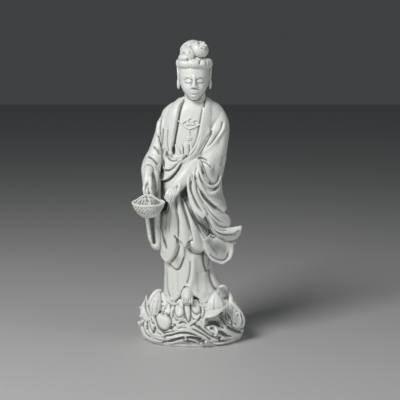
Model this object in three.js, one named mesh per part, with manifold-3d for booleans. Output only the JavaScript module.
// A porcelain Guanyin who holds a small basket and stands barefoot on a lotus among waves.
// Figure, basket and plinth are moulded and fired as one piece, so the model is one solid.
// Millimetres, +Z up. The origin is the middle of the plinth's underside, and the figure faces -Y.

import * as THREE from 'three';
import { mergeVertices } from 'three/addons/utils/BufferGeometryUtils.js';
import Module from 'manifold-3d';

// The figure's height above the plinth. Its free form is drawn at DRAWN_HEIGHT and scaled to it.
const FIGURE_HEIGHT = 388;
const DRAWN_HEIGHT = 388;

// The plinth at its widest. It too is drawn at its own size, DRAWN_PLINTH, and stretched to these.
const PLINTH_WIDTH = 156;
const PLINTH_DEPTH = 110;
const PLINTH_HEIGHT = 62;
const DRAWN_PLINTH = { width: 156, depth: 110, height: 62 };
const WAVE_RELIEF = 1.5; // how far each strand of water stands out and sinks in

// The basket.
const BASKET_RIM_RADIUS = 23.5;
const BASKET_FOOT_RADIUS = 9;
const BASKET_DEPTH = 21;
const BASKET_WALL = 2.6;
const BASKET_LIP = 1.2; // the rim stands out this far past the wall
const HANDLE_RADIUS = 1.6;
const HANDLE_STRANDS = 4;

const PORCELAIN = { color: 0xe3e6de, roughness: 0.22, metalness: 0 };

const { PI } = Math;
const TAU = 2 * PI;
const DEGREE = PI / 180;

const wasm = await Module();
wasm.setup();

const point = (x, y, z) => new THREE.Vector3(x, y, z);
const mix = (a, b, t) => a + (b - a) * t;
const clamp = (value) => Math.min(1, Math.max(0, value));
const smooth = (value) => {
  const t = clamp(value);
  return t * t * (3 - 2 * t);
};

// The figure is drawn with heights from the plinth's top, and the plinth with heights from its underside.
const FIGURE = {
  scale: FIGURE_HEIGHT / DRAWN_HEIGHT,
  at: ([x, y, z]) => point(x, y, z).multiplyScalar(FIGURE.scale).add(point(0, 0, PLINTH_HEIGHT)),
};

const PLINTH = {
  scale: PLINTH_WIDTH / DRAWN_PLINTH.width,
  at: ([x, y, z]) =>
    point(
      (x * PLINTH_WIDTH) / DRAWN_PLINTH.width,
      (y * PLINTH_DEPTH) / DRAWN_PLINTH.depth,
      (z * PLINTH_HEIGHT) / DRAWN_PLINTH.height,
    ),
};

const TRUE_SIZE = { scale: 1, at: (spot) => spot };

// A closed geometry as a solid, turned right side out.
function solid(geometry) {
  const bare = new THREE.BufferGeometry();
  bare.setAttribute('position', geometry.attributes.position);
  bare.setIndex(geometry.index);
  const merged = mergeVertices(bare, 1e-4);
  const triangles = new Uint32Array(merged.index.array);
  const vertices = new Float32Array(merged.attributes.position.array);
  const make = () =>
    new wasm.Manifold(new wasm.Mesh({ numProp: 3, vertProperties: vertices, triVerts: triangles }));
  const made = make();
  if (made.volume() > 0) return made;
  for (let i = 0; i < triangles.length; i += 3) {
    [triangles[i + 1], triangles[i + 2]] = [triangles[i + 2], triangles[i + 1]];
  }
  return make();
}

// A solid wall through closed sections of equally many points, with both ends fanned shut.
function loft(sections) {
  const sides = sections[0].length;
  const spots = sections.flat();
  const triangles = [];
  for (let ring = 0; ring < sections.length - 1; ring += 1) {
    for (let k = 0; k < sides; k += 1) {
      const [a, b] = [ring * sides + k, ring * sides + ((k + 1) % sides)];
      triangles.push(a, b, b + sides, a, b + sides, a + sides);
    }
  }
  [0, sections.length - 1].forEach((ring) => {
    const middle = sections[ring].reduce((sum, spot) => sum.add(spot), point(0, 0, 0)).divideScalar(sides);
    spots.push(middle);
    for (let k = 0; k < sides; k += 1) {
      const [a, b] = [ring * sides + k, ring * sides + ((k + 1) % sides)];
      triangles.push(...(ring === 0 ? [b, a] : [a, b]), spots.length - 1);
    }
  });
  return solid(new THREE.BufferGeometry().setFromPoints(spots).setIndex(triangles));
}

const curveOf = (points, at) => new THREE.CatmullRomCurve3(points.map(at), false, 'centripetal');

// The value at t, from 0 to 1, of a smooth curve through evenly spaced values.
function through(values, t) {
  const last = values.length - 1;
  const at = clamp(t) * last;
  const i = Math.min(last - 1, Math.floor(at));
  const f = at - i;
  const [a, b, c, d] = [-1, 0, 1, 2].map((k) => values[Math.min(last, Math.max(0, i + k))]);
  return 0.5 * (2 * b + (c - a) * f + (2 * a - 5 * b + 4 * c - d) * f * f + (3 * b - a - 3 * c + d) * f ** 3);
}

// A column is drawn as stations [height, left, right, front, back] from its foot up.
function stationAt(stations, height) {
  const last = stations.length - 1;
  let i = 0;
  while (i < last - 1 && height > stations[i + 1][0]) i += 1;
  const t = (i + clamp((height - stations[i][0]) / (stations[i + 1][0] - stations[i][0]))) / last;
  return [1, 2, 3, 4].map((side) => through(stations.map((row) => row[side]), t));
}

// The height of a hem, drawn as [degrees from the front, height] all the way round.
function hemAt(rows, angle) {
  const degrees = Math.atan2(Math.sin(angle), Math.cos(angle)) / DEGREE;
  let i = 0;
  while (i < rows.length - 2 && degrees > rows[i + 1][0]) i += 1;
  const [[a, low], [b, high]] = [rows[i], rows[i + 1]];
  return mix(low, high, smooth((degrees - a) / (b - a)));
}

// An upright body lofted through stations as squared ellipses. crowd gathers its sides at the front, hem
// waves its foot, drift lifts its rings and folds push its wall out.
function column(stations, options = {}) {
  const { sides = 20, rings = 12, squareness = 2.2, crowd = 0, frame = FIGURE } = options;
  const { hem = null, folds = null, drift = null } = options;
  const low = stations[0][0];
  const high = stations[stations.length - 1][0];
  const soften = (v) => Math.sign(v) * Math.abs(v) ** (2 / squareness);
  const sections = [];
  for (let ring = 0; ring <= rings; ring += 1) {
    const section = [];
    for (let k = 0; k < sides; k += 1) {
      const turn = (TAU * k) / sides;
      const angle = turn - crowd * Math.sin(turn);
      const level = mix(hem ? hemAt(hem, angle) : low, high, ring / rings);
      const z = drift ? level + drift(angle, level) : level;
      const [left, right, front, back] = stationAt(stations, z);
      const x = (left + right) / 2 + (soften(Math.sin(angle)) * (right - left)) / 2;
      const y = (front + back) / 2 - (soften(Math.cos(angle)) * (back - front)) / 2;
      const push = folds ? folds(x, z, angle, ring) : 0;
      section.push(frame.at([x + push * Math.sin(angle), y - push * Math.cos(angle), z]));
    }
    sections.push(section);
  }
  return loft(sections);
}

// A tube along a smooth path, with round noses. flatness is its thickness front to back over its width.
function tube(path, radii, options = {}) {
  const { sides = 8, steps = 8, flatness = 1, frame = FIGURE, nose = 0.12 } = options;
  const curve = curveOf(path, frame.at);
  const sections = [];
  for (let step = 0; step <= steps; step += 1) {
    const t = (1 - Math.cos((PI * step) / steps)) / 2;
    const centre = curve.getPoint(t);
    const along = curve.getTangent(t);
    const deep = point(0, 1, 0).addScaledVector(along, -along.y).normalize();
    const wide = along.clone().cross(deep);
    const rounding = Math.sqrt(1 - Math.max(0, (Math.abs(2 * t - 1) - 1 + nose) / nose) ** 2);
    const radius = through(radii, t) * frame.scale * Math.max(0.3, rounding);
    const section = [];
    for (let side = 0; side < sides; side += 1) {
      const angle = (TAU * side) / sides;
      const spot = centre.clone().addScaledVector(wide, Math.cos(angle) * radius);
      section.push(spot.addScaledVector(deep, Math.sin(angle) * radius * flatness));
    }
    sections.push(section);
  }
  return loft(sections);
}

// A thick sheet between two edges. crown bows it to the front and flare rounds its far end out.
function sheet(upper, lower, options = {}) {
  const { thickness = 3, crown = 0, flare = 0, steps = 8, across = 3, frame = FIGURE } = options;
  const [first, second] = [upper, lower].map((edge) => curveOf(edge, frame.at));
  const sections = [];
  for (let step = 0; step <= steps; step += 1) {
    const u = step / steps;
    const outward = first.getTangent(u).add(second.getTangent(u)).normalize();
    const [front, rear] = [[], []];
    for (let k = 0; k <= across; k += 1) {
      const arch = Math.sin((PI * k) / across);
      const here = first.getPoint(u).lerp(second.getPoint(u), k / across);
      here.addScaledVector(outward, flare * frame.scale * arch * smooth(4 * u - 3));
      here.y -= crown * frame.scale * arch;
      const half = thickness * frame.scale * (arch < 0.01 ? 0.25 : 0.5);
      front.push(here.clone().add(point(0, -half, 0)));
      rear.unshift(here.clone().add(point(0, half, 0)));
    }
    sections.push([...front, ...rear]);
  }
  return loft(sections);
}

// A flap of cloth that lies on a column's front. Each edge is drawn as [x, height] and stands proud.
function flap(stations, edge, proud, fade, sunk, options = {}) {
  const { steps = 8, squareness = 2.2, root = 4 } = options;
  const surface = ([x, z], out) => {
    const [left, right, front, back] = stationAt(stations, z);
    const [halfX, halfY] = [(right - left) / 2, (back - front) / 2];
    const across = Math.max(-0.97, Math.min(0.97, (x - (left + right) / 2) / halfX));
    const ahead = (1 - Math.abs(across) ** squareness) ** (1 / squareness);
    const normal = point(
      (Math.sign(across) * Math.abs(across) ** (squareness - 1)) / halfX,
      -(ahead ** (squareness - 1)) / halfY,
      0,
    ).normalize();
    return [x + normal.x * out, (front + back) / 2 - ahead * halfY + normal.y * out, z];
  };
  const [edgeLine, fadeLine] = [edge, fade].map((line) => curveOf(line, ([x, z]) => point(x, 0, z)));
  const sections = [];
  for (let step = 0; step <= steps; step += 1) {
    const a = edgeLine.getPoint(step / steps);
    const b = fadeLine.getPoint(step / steps);
    const m = a.clone().lerp(b, 0.4);
    sections.push(
      [
        surface([a.x, a.z], proud),
        surface([m.x, m.z], mix(proud, sunk, 0.25)),
        surface([b.x, b.z], sunk),
        surface([b.x, b.z], -root),
        surface([a.x, a.z], -root),
      ].map(FIGURE.at),
    );
  }
  return loft(sections);
}

// An egg with its point up, leaning to the right by lean and to the back by pitch.
function egg(centre, [width, depth, height], options = {}) {
  const { lean = 0, pitch = 0, sides = 10, rows = 6, taper = 0, frame = FIGURE } = options;
  const geometry = new THREE.SphereGeometry(0.5, sides, rows);
  geometry.rotateX(PI / 2);
  const spots = geometry.attributes.position;
  for (let i = 0; i < spots.count; i += 1) {
    const narrow = 1 - taper * Math.max(0, 2 * spots.getZ(i)) ** 1.5;
    spots.setXY(i, spots.getX(i) * narrow, spots.getY(i) * narrow);
  }
  geometry.scale(width * frame.scale, depth * frame.scale, height * frame.scale);
  geometry.rotateX(-pitch);
  geometry.rotateY(lean);
  const at = frame.at(centre);
  geometry.translate(at.x, at.y, at.z);
  return solid(geometry);
}

// A soft pleat pressed into a column along [x, height] points. A negative height makes a groove.
function pleat(height, width, points) {
  const line = curveOf(points, ([x, z]) => point(x, 0, z)).getPoints(12);
  return (x, z) => {
    let [nearest, along] = [Infinity, 0];
    for (let i = 0; i < line.length - 1; i += 1) {
      const [dx, dz] = [line[i + 1].x - line[i].x, line[i + 1].z - line[i].z];
      const t = clamp(((x - line[i].x) * dx + (z - line[i].z) * dz) / (dx * dx + dz * dz));
      const gap = Math.hypot(x - line[i].x - dx * t, z - line[i].z - dz * t);
      if (gap < nearest) [nearest, along] = [gap, (i + t) / (line.length - 1)];
    }
    return height * smooth(along * 6) * smooth((1 - along) * 6) * Math.exp(-((nearest / width) ** 2));
  };
}

// The robe, from its hem to the neck.
const ROBE = [
  [62, -45.5, 31, -36, 34],
  [90, -45, 32, -37, 35],
  [115, -43.5, 34, -37, 35],
  [140, -42.5, 35, -37, 34],
  [165, -42, 35, -36, 33],
  [185, -42, 36, -34, 32],
  [205, -42, 37, -32, 31],
  [225, -43, 40, -31, 31],
  [245, -46, 44, -31, 31],
  [262, -48, 48, -30, 30],
  [276, -46.5, 50, -29, 28],
  [287, -42, 47, -27, 26],
  [295, -33, 40, -24, 23],
  [301, -22, 30, -20, 19],
  [306, -14, 23, -15, 15],
];

const ROBE_HEM = [
  [-180, 68],
  [-120, 74],
  [-76, 78],
  [-41, 63],
  [-26, 101],
  [-5, 87],
  [8, 97],
  [26, 81],
  [51, 85],
  [76, 88],
  [120, 72],
  [180, 68],
];

const ROBE_PLEATS = [
  pleat(2.5, 8, [[30, 256], [22, 238], [8, 224], [-8, 213]]),
  pleat(2.5, 8, [[46, 275], [38, 250], [26, 232], [10, 216]]),
  pleat(2.2, 7, [[-44, 270], [-43, 240], [-38, 216]]),
];

// Long pleats that fan out from the hand, each a ridge from its top to the hem.
const FANNED_PLEATS = [
  [[-29, -32, 152], [-27, -38, 122], [-21, -38, 101]],
  [[-23, -35, 158], [-18, -41, 125], [-11, -40, 91]],
  [[-15, -37, 162], [-5, -43, 126], [10, -40, 85]],
  [[-9, -38, 164], [8, -43, 130], [22, -38, 90]],
];

const fannedPleats = () =>
  FANNED_PLEATS.map((path) =>
    tube(path, [2.5, 4, 5.5, 5.5], { sides: 6, steps: 6, flatness: 0.8, nose: 0.2 }),
  );

// The underskirt, with two lobes that part over the bare foot.
const SKIRT = [
  [-8, -46, 51, -37, 36],
  [5, -44.5, 52, -38.5, 37],
  [13, -43.5, 50, -38, 36.5],
  [22, -43, 46, -36, 36],
  [32, -42.5, 39, -34.5, 34],
  [44, -42, 33.5, -33.5, 32],
  [60, -42, 30.5, -32.5, 31],
  [80, -42, 29.5, -32, 30.5],
  [110, -41, 29, -31, 30],
];

const SKIRT_HEM = [
  [-180, -6],
  [-110, -2],
  [-72, 7],
  [-42, 4],
  [-22, 13],
  [-11, 27],
  [-3, 13],
  [16, 3],
  [34, 11],
  [47, 3],
  [75, 6],
  [100, -2],
  [180, -6],
];

const SKIRT_PLEATS = [
  pleat(2.4, 7, [[-3, 80], [-3, 55], [-7, 30]]),
  pleat(-1.6, 6, [[-35, 66], [-37, 40], [-34, 12]]),
  pleat(-2.4, 6, [[25, 66], [29, 40], [34, 14]]),
];

// The back, which has no drawn pleats, hangs in soft flutes.
const flutes = (angle, z) => 1.4 * Math.cos(9 * angle + z / 60) * smooth(-2 * Math.cos(angle));

function pressed(pleats) {
  return (x, z, angle) => {
    const facing = smooth(0.3 + 2.2 * Math.cos(angle));
    return facing * pleats.reduce((sum, press) => sum + press(x, z), 0) + flutes(angle, z);
  };
}

const robe = () =>
  column(ROBE, { sides: 32, rings: 13, crowd: 0.55, hem: ROBE_HEM, folds: pressed(ROBE_PLEATS) });
const skirt = () =>
  column(SKIRT, { sides: 28, rings: 6, crowd: 0.5, hem: SKIRT_HEM, folds: pressed(SKIRT_PLEATS) });

// The robe's open front: two lapels, the crossed panel under them and the tunic's lower edges.
const flaps = () => [
  flap(
    ROBE,
    [[-9, 305], [-17.6, 276], [-22, 244], [-27, 222]],
    4.2,
    [[-24, 301], [-33, 280], [-39, 251], [-40, 226]],
    0.4,
  ),
  flap(
    ROBE,
    [[19, 305], [16, 285], [12, 259], [6, 240], [-5, 227], [-14, 220]],
    4.2,
    [[26, 301], [32, 281], [27, 255], [20, 238], [5, 220], [-12, 206]],
    0.6,
    { steps: 11 },
  ),
  flap(
    ROBE,
    [[-45, 182], [-32, 187], [-22, 197], [-13, 210], [-8, 219]],
    3.4,
    [[-44, 200], [-34, 204], [-24, 213], [-14, 222], [-9, 228]],
    0.2,
  ),
  flap(
    ROBE,
    [[-38, 219], [-33, 213], [-24, 212], [-10, 218]],
    3,
    [[-37, 230], [-32, 226], [-23, 224], [-10, 228]],
    0.4,
    { steps: 6 },
  ),
];

// The right arm's wide sleeve, at the left of the front view, hangs behind the basket and opens to the front.
const HANGING_SLEEVE = [
  [77, -57, -48, -18, -8],
  [83, -61, -45.5, -21, -4],
  [94, -64.3, -44.2, -24, 0],
  [112, -67, -46, -25, 4],
  [133, -70.5, -46, -28, 7],
  [150, -71, -46, -31, 9],
  [165, -72, -46, -33, 10],
  [180, -73.5, -45.5, -34, 11],
  [195, -74.7, -45, -33, 12],
  [207, -74, -44, -31, 13],
  [216, -70.5, -42, -27, 14],
  [229, -63.5, -38, -23, 15],
  [244, -58, -34, -20, 16],
  [258, -53.5, -30, -19, 16],
  [272, -49.5, -26, -17, 15],
  [284, -42, -24, -14, 12],
];

const SLEEVE_MOUTH = [
  [86, -59, -53, -60, -12],
  [96, -61.5, -54, -60, -10],
  [120, -64.5, -55.5, -60, -10],
  [150, -68, -54, -60, -12],
  [175, -70, -52, -60, -14],
  [192, -69, -53, -60, -16],
  [204, -65, -57, -60, -24],
];

const SLEEVE_FOLDS = [
  [[-68, -24, 212], [-60, -30, 219], [-51, -29, 214], [-45, -25, 200]],
  [[-63, -20, 226], [-54, -25, 229], [-46, -23, 220], [-42, -20, 208]],
];

const hangingSleeve = () =>
  SLEEVE_FOLDS.reduce(
    (whole, path) => whole.add(tube(path, [1.5, 3.4, 3.4, 1.5], { sides: 5, steps: 5, flatness: 0.8 })),
    column(HANGING_SLEEVE, { sides: 12, rings: 10 }).subtract(
      column(SLEEVE_MOUTH, { sides: 8, rings: 4, squareness: 3 }),
    ),
  );

// The left arm's sleeve, at the right of the front view, sags in a pouch with a rolled mouth.
const POUCH_SLEEVE = [
  [173, 28, 37, -30, -8],
  [178, 23, 41, -37, 2],
  [187, 17, 44.5, -41, 9],
  [200, 12, 47.5, -43, 16],
  [213, 9, 50, -41, 20],
  [229, 11, 52.5, -36, 22],
  [244, 14, 54.5, -31, 22],
  [258, 18, 55.7, -27, 21],
  [270, 21, 54.5, -23, 19],
  [282, 24, 50, -17, 15],
  [290, 27, 43, -12, 11],
];

const ROLLED_MOUTH = [
  [9, -42, 216],
  [14, -44, 200],
  [22, -43, 185],
  [31, -39, 178],
  [39, -33, 183],
  [43, -30, 193],
  [47, -26, 207],
];
const INNER_ROLL = [
  [4, -38, 214],
  [8, -40, 197],
  [16, -41, 182],
  [26, -38, 173],
  [35, -32, 172],
  [41, -26, 180],
];

const pouchSleeve = () => [
  column(POUCH_SLEEVE, { sides: 14, rings: 8 }),
  tube(ROLLED_MOUTH, [3, 4, 4.2, 4, 3.4, 2.6, 1], { sides: 5, steps: 8 }),
  tube(INNER_ROLL, [3, 4.2, 4.6, 4.4, 3.6, 1.5], { sides: 5, steps: 7 }),
];

// A hand: the palm is a flattened tube, and fingers spread from the knuckles to the tips.
function hand(wrist, knuckles, tips, { spread, width, fingers = 4, palm = 7.5 }) {
  const shifted = ([x, y, z], k) => {
    const step = k - (fingers - 1) / 2;
    return [x + spread[0] * step, y + spread[1] * step, z + spread[2] * step];
  };
  const parts = [tube([wrist, knuckles], [palm * 0.9, palm, palm], { sides: 7, steps: 3, flatness: 0.75 })];
  for (let k = 0; k < fingers; k += 1) {
    const [from, to] = [shifted(knuckles, k), shifted(tips, k)];
    const middle = [(from[0] + to[0]) / 2, (from[1] + to[1]) / 2 - 2.4, (from[2] + to[2]) / 2];
    parts.push(tube([from, middle, to], [width, width, width * 0.65], { sides: 5, steps: 3 }));
  }
  return parts;
}

const leftForearm = () => [
  tube([[30, -24, 203], [13, -36, 208], [-3, -43, 203], [-15, -46, 189]], [12, 12.5, 9.5, 7.5], {
    sides: 8,
    steps: 6,
    flatness: 0.85,
  }),
  ...hand([-14, -46, 190], [-26, -46, 170], [-35, -42, 157], {
    spread: [2.2, -1, -2.6],
    width: 3.3,
    palm: 8.6,
  }),
];

const HANDLE_TOP = [-64.5, -49, 167];

const rightForearm = () => [
  tube([[-61, -18, 212], [-63.5, -32, 206], [-64, -39, 195]], [9, 8.6, 6.4], { sides: 7, steps: 4 }),
  ...hand([-64, -38, 197], [-64, -44, 182], [-64.5, -48, 166], {
    spread: [3.2, 0, 0.8],
    width: 2.5,
    palm: 6.6,
  }),
];

// The basket is an open bowl, hung from strands that meet at the fingers.
const BASKET_RIM_CENTRE = [-63, -49, 153];
const BASKET_TILT = 0.09;

function basket() {
  const rim = FIGURE.at(BASKET_RIM_CENTRE);
  const radius = (t) => mix(BASKET_FOOT_RADIUS, BASKET_RIM_RADIUS, Math.sin((t * PI) / 2) ** 0.85);
  const rows = 3;
  const outer = [];
  const inner = [];
  for (let k = 0; k <= rows; k += 1) {
    const t = k / rows;
    outer.push(new THREE.Vector2(radius(t), BASKET_DEPTH * t));
    inner.unshift(new THREE.Vector2(radius(t) - BASKET_WALL, mix(BASKET_WALL, BASKET_DEPTH, t)));
  }
  const lip = [
    new THREE.Vector2(BASKET_RIM_RADIUS + BASKET_LIP, BASKET_DEPTH + BASKET_LIP),
    new THREE.Vector2(BASKET_RIM_RADIUS - BASKET_WALL / 2, BASKET_DEPTH + 2 * BASKET_LIP),
  ];
  const profile = [new THREE.Vector2(0, 0), ...outer, ...lip, ...inner, new THREE.Vector2(0, BASKET_WALL)];
  const bowl = new THREE.LatheGeometry(profile, 14);
  bowl.rotateX(PI / 2);
  bowl.translate(0, 0, -BASKET_DEPTH);
  bowl.rotateX(BASKET_TILT);
  bowl.translate(rim.x, rim.y, rim.z);
  const parts = [solid(bowl)];
  const top = FIGURE.at(HANDLE_TOP);
  const reach = BASKET_RIM_RADIUS - BASKET_WALL / 2;
  for (let k = 0; k < HANDLE_STRANDS; k += 1) {
    const angle = (TAU * (k + 0.5)) / HANDLE_STRANDS + 0.35;
    const foot = rim.clone().add(point(reach * Math.cos(angle), reach * Math.sin(angle), 0));
    const bow = foot.clone().lerp(top, 0.5).add(point(0, 0, 3));
    parts.push(
      tube([foot, bow, top], [HANDLE_RADIUS, HANDLE_RADIUS, HANDLE_RADIUS], {
        sides: 4,
        steps: 2,
        nose: 0.02,
        frame: TRUE_SIZE,
      }),
    );
  }
  return parts;
}

// The shawl's end falls from the left forearm and blows to the side in long folds.
function shawl() {
  const outerPanel = sheet(
    [[43, 4, 196], [43.5, 4, 178], [45, 2, 162], [49, -4, 148], [50, -10, 138]],
    [[6, -36, 192], [12, -39, 171], [22, -39, 156], [34, -35, 144], [47, -26, 137]],
    { thickness: 7, crown: 8, steps: 6, across: 3, flare: 2 },
  );
  const middlePanel = sheet(
    [[8, -34, 188], [16, -37, 165], [28, -37, 150], [42, -32, 140], [53, -24, 133], [57.5, -18, 123]],
    [[5, -40, 186], [11, -43, 166], [20, -44, 151], [31, -41, 136], [43, -34, 124], [55, -25, 116]],
    { thickness: 6, crown: 3, steps: 7, across: 2 },
  );
  const tail = sheet(
    [[6, -40, 196], [10, -44, 168], [19, -46, 151], [30, -44, 136], [46, -38, 121],
     [61, -32, 117], [74, -26, 116]],
    [[-1, -42, 194], [1, -47, 170], [9, -50, 154], [21, -50, 140], [31, -47, 118],
     [45, -42, 106], [68, -30, 109]],
    { thickness: 6, crown: 3, steps: 9 },
  );
  const tailUnderside = sheet(
    [[22, -44, 138], [28, -45, 122], [36, -43, 111], [50, -38, 105], [64, -32, 108], [73, -27, 115]],
    [[22, -34, 132], [30, -34, 113], [40, -33, 101], [53, -31, 96], [66, -27, 99], [74, -25, 112]],
    { thickness: 4, crown: -1, steps: 6, across: 2 },
  );
  const hangingFold = tube(
    [[-3, -42, 196], [-2, -46, 172], [3, -49, 152], [11, -50, 137], [18, -48, 127]],
    [5, 6, 6.5, 7, 7.5],
    { sides: 6, steps: 7 },
  );
  const cornerLobe = sheet(
    [[14, -30, 138], [28, -34, 118], [41, -33, 102], [51, -29, 93], [61, -23, 91]],
    [[-4, -34, 118], [9, -38, 100], [20, -38, 82], [31, -33, 66], [45, -27, 60]],
    { thickness: 5, crown: 5, steps: 6, across: 3, flare: 8 },
  );
  const cornerCurl = tube([[50, -29, 94], [57, -25, 89.5], [63.5, -21, 91]], [2.2, 2.8, 2.2], {
    sides: 5,
    steps: 3,
  });
  return [outerPanel, middlePanel, tail, tailUnderside, hangingFold, cornerLobe, cornerCurl];
}

// Neck, head and long ears.
const HEAD = [
  [303, -2, 9, -33, -18],
  [307, -7.5, 14.5, -37.5, -6],
  [315, -13.5, 20.5, -39.5, 4],
  [325, -17, 24, -39, 9],
  [338, -18.5, 25.5, -39, 12],
  [350, -18.5, 25.5, -38, 13],
  [362, -15, 22, -32, 10],
  [368, -8, 15, -24, 2],
];

const NECK = [
  [284, -13, 20, -24, 12],
  [296, -11.5, 18.5, -23, 8],
  [318, -10, 17, -24, 2],
];

const FACE_MIDDLE = 3.5; // the head sits a little to the right

function features() {
  const nose = tube(
    [[FACE_MIDDLE, -37.5, 339], [FACE_MIDDLE, -40.5, 331], [FACE_MIDDLE, -43.5, 323.5]],
    [1.6, 2.2, 3.2],
    { sides: 5, steps: 3 },
  );
  const mouth = egg([FACE_MIDDLE, -39, 315], [11, 4, 4.4], { sides: 6, rows: 3 });
  const lids = [-1, 1].map((side) =>
    egg([FACE_MIDDLE + side * 9, -36, 334], [12, 5.4, 7], { sides: 6, rows: 3 }),
  );
  const ears = [-1, 1].map((side) => {
    const spots = [[23, -8, 352], [25, -9, 341], [23.6, -11, 328], [25, -13, 319]];
    const path = spots.map(([out, y, z]) => [FACE_MIDDLE + side * out, y, z]);
    return tube(path, [2.4, 3, 2.2, 2.8], { sides: 5, steps: 4, flatness: 1.5 });
  });
  return [nose, mouth, ...lids, ...ears];
}

// Hair: a thick roll over the brow, bunched in locks, and a coiled topknot.
const HAIR_ROLL = [
  [346.5, -15.5, 22.5, -33, 11],
  [349, -20, 27, -36.5, 14],
  [357, -22, 29, -38.5, 16],
  [364, -19, 26, -35, 13],
  [368.5, -10, 16, -27, 5],
];

const hairLocks = (x, z, angle) => 1.6 * Math.abs(Math.cos(4.5 * angle + z / 14)) - 0.8;

function hair() {
  return [
    column(HAIR_ROLL, { sides: 22, rings: 5, folds: hairLocks }),
    egg([-1, -7, 374], [40, 36, 28], { taper: 0.25 }),
    egg([12.5, -16, 373], [25, 26, 22], { sides: 9 }),
    egg([17, -25, 382.5], [8, 5, 6], { lean: 0.6, sides: 6, rows: 3 }), // jewel
  ];
}

// The bare foot that steps out of the skirt's notch.
function foot() {
  return [
    egg([-8.5, -38, 8], [18, 36, 22], { pitch: -0.35, sides: 8, rows: 5 }),
    egg([-8.5, -51.5, 3], [19, 9, 6], { sides: 8, rows: 3 }), // toes
  ];
}

// The plinth: a mound of waves that carries lotus petals, leaves and buds.
const MOUND = [
  [0, -70, 70, -49, 49],
  [6, -74.5, 74.5, -52, 52],
  [18, -78, 77.5, -54, 54],
  [32, -77.5, 77.5, -54.5, 54.5],
  [44, -73, 74, -52, 52],
  [54, -66, 67, -47, 47],
  [62, -56, 59, -42, 42],
  [67, -44, 48, -35, 36],
];

// Rings that drift up and down, standing out and sinking in by turns, make strands of flowing water.
function drift(angle, level) {
  const rise = 5 * Math.sin(2 * angle + 0.7 + level / 9) + 2 * Math.sin(3 * angle - 0.4);
  return rise * smooth(level / 16) * smooth((66 - level) / 20);
}

const strands = (x, z, angle, ring) => {
  const relief = WAVE_RELIEF * (0.75 + 0.25 * Math.sin(3 * angle + ring));
  return (ring % 2 ? relief : -relief) * smooth(z / 5) * smooth((68 - z) / 12);
};

// A drawn point on the mound's wall, at so many degrees from the front, standing proud of it.
function onMound([degrees, z], proud) {
  const [left, right, front, back] = stationAt(MOUND, z);
  const angle = degrees * DEGREE;
  const [halfX, halfY] = [(right - left) / 2 + proud, (back - front) / 2 + proud];
  return [(left + right) / 2 + halfX * Math.sin(angle), (front + back) / 2 - halfY * Math.cos(angle), z];
}

// A lotus leaf seen as a disc that leans on the wall.
const discLeaf = (spot, [width, height], options) =>
  egg(onMound(spot, 1.5), [width, 10, height], { sides: 10, rows: 5, frame: PLINTH, ...options });

// Petals that fan out under the foot, each pointed at its lower end.
function lotus() {
  const petals = 5;
  const heart = [-6.5, -46, 62];
  const parts = [];
  for (let k = 0; k < petals; k += 1) {
    const turn = mix(-62, 62, k / (petals - 1)) * DEGREE;
    const reach = 15 - 3 * Math.abs(turn);
    const spot = [
      heart[0] + 1.2 * reach * Math.sin(turn),
      heart[1] - 7 * Math.cos(turn),
      heart[2] - reach * Math.cos(turn),
    ];
    parts.push(egg(spot, [14, 9, 29], { lean: PI - turn, taper: 0.55, sides: 5, rows: 4, frame: PLINTH }));
  }
  return parts;
}

function plinth() {
  const below = new THREE.BoxGeometry(2 * PLINTH_WIDTH, 2 * PLINTH_DEPTH, PLINTH_HEIGHT);
  below.translate(0, 0, -PLINTH_HEIGHT / 2);
  const growth = [
    tube([onMound([-74, 32], -1), [-71, -24, 52], [-68.5, -24, 78]], [5.5, 4.6, 0.8], {
      sides: 5,
      steps: 5,
      frame: PLINTH,
    }),
    egg([-54.5, -26, 61], [16, 15, 41], { lean: 0.25, taper: 0.5, sides: 8, rows: 5, frame: PLINTH }),
    egg([-52, -10, 68], [18, 12, 32], { lean: 0.5, taper: 0.3, sides: 8, rows: 5, frame: PLINTH }),
    egg([-40, -45, 52], [16, 12, 16], { sides: 8, rows: 5, frame: PLINTH }),
    discLeaf([-36, 35], [23, 23], { pitch: 0.2 }),
    egg([33, -40, 66], [15, 12, 33], { taper: 0.75, sides: 8, rows: 5, frame: PLINTH }),
    egg([58, -14, 68], [9, 11, 30], { lean: -0.15, taper: 0.7, sides: 8, rows: 5, frame: PLINTH }),
    discLeaf([66, 35], [17, 26], {}),
    sheet(
      [[16, -50, 32], [18, -49, 47], [30, -46, 54], [42, -41, 57], [53, -34, 61]],
      [[22, -58, 32], [24, -60, 45], [32, -60, 47], [42, -56, 48], [52, -46, 57]],
      { thickness: 4, crown: 2, steps: 6, frame: PLINTH },
    ),
  ];
  const mound = column(MOUND, {
    sides: 32,
    rings: 15,
    crowd: 0.25,
    squareness: 2.1,
    drift,
    folds: strands,
    frame: PLINTH,
  });
  return [...growth, ...lotus()].reduce((whole, part) => whole.add(part), mound).subtract(solid(below));
}

// A solid as a geometry.
function geometryOf(made) {
  const mesh = made.getMesh();
  const geometry = new THREE.BufferGeometry();
  geometry.setAttribute('position', new THREE.BufferAttribute(mesh.vertProperties, mesh.numProp));
  geometry.setIndex(new THREE.BufferAttribute(mesh.triVerts, 1));
  geometry.computeVertexNormals();
  return geometry;
}

const figure = [
  robe(),
  skirt(),
  ...fannedPleats(),
  ...flaps(),
  hangingSleeve(),
  ...pouchSleeve(),
  ...leftForearm(),
  ...rightForearm(),
  ...shawl(),
  column(NECK, { sides: 12, rings: 3 }),
  column(HEAD, { sides: 16, rings: 8, squareness: 2.1 }),
  ...features(),
  ...hair(),
  ...foot(),
  ...basket(),
];

const guanyin = new THREE.Mesh(
  geometryOf(figure.reduce((whole, part) => whole.add(part), plinth())),
  new THREE.MeshStandardMaterial(PORCELAIN),
);
guanyin.name = 'guanyin';

const group = new THREE.Group();
group.add(guanyin);

export default group;
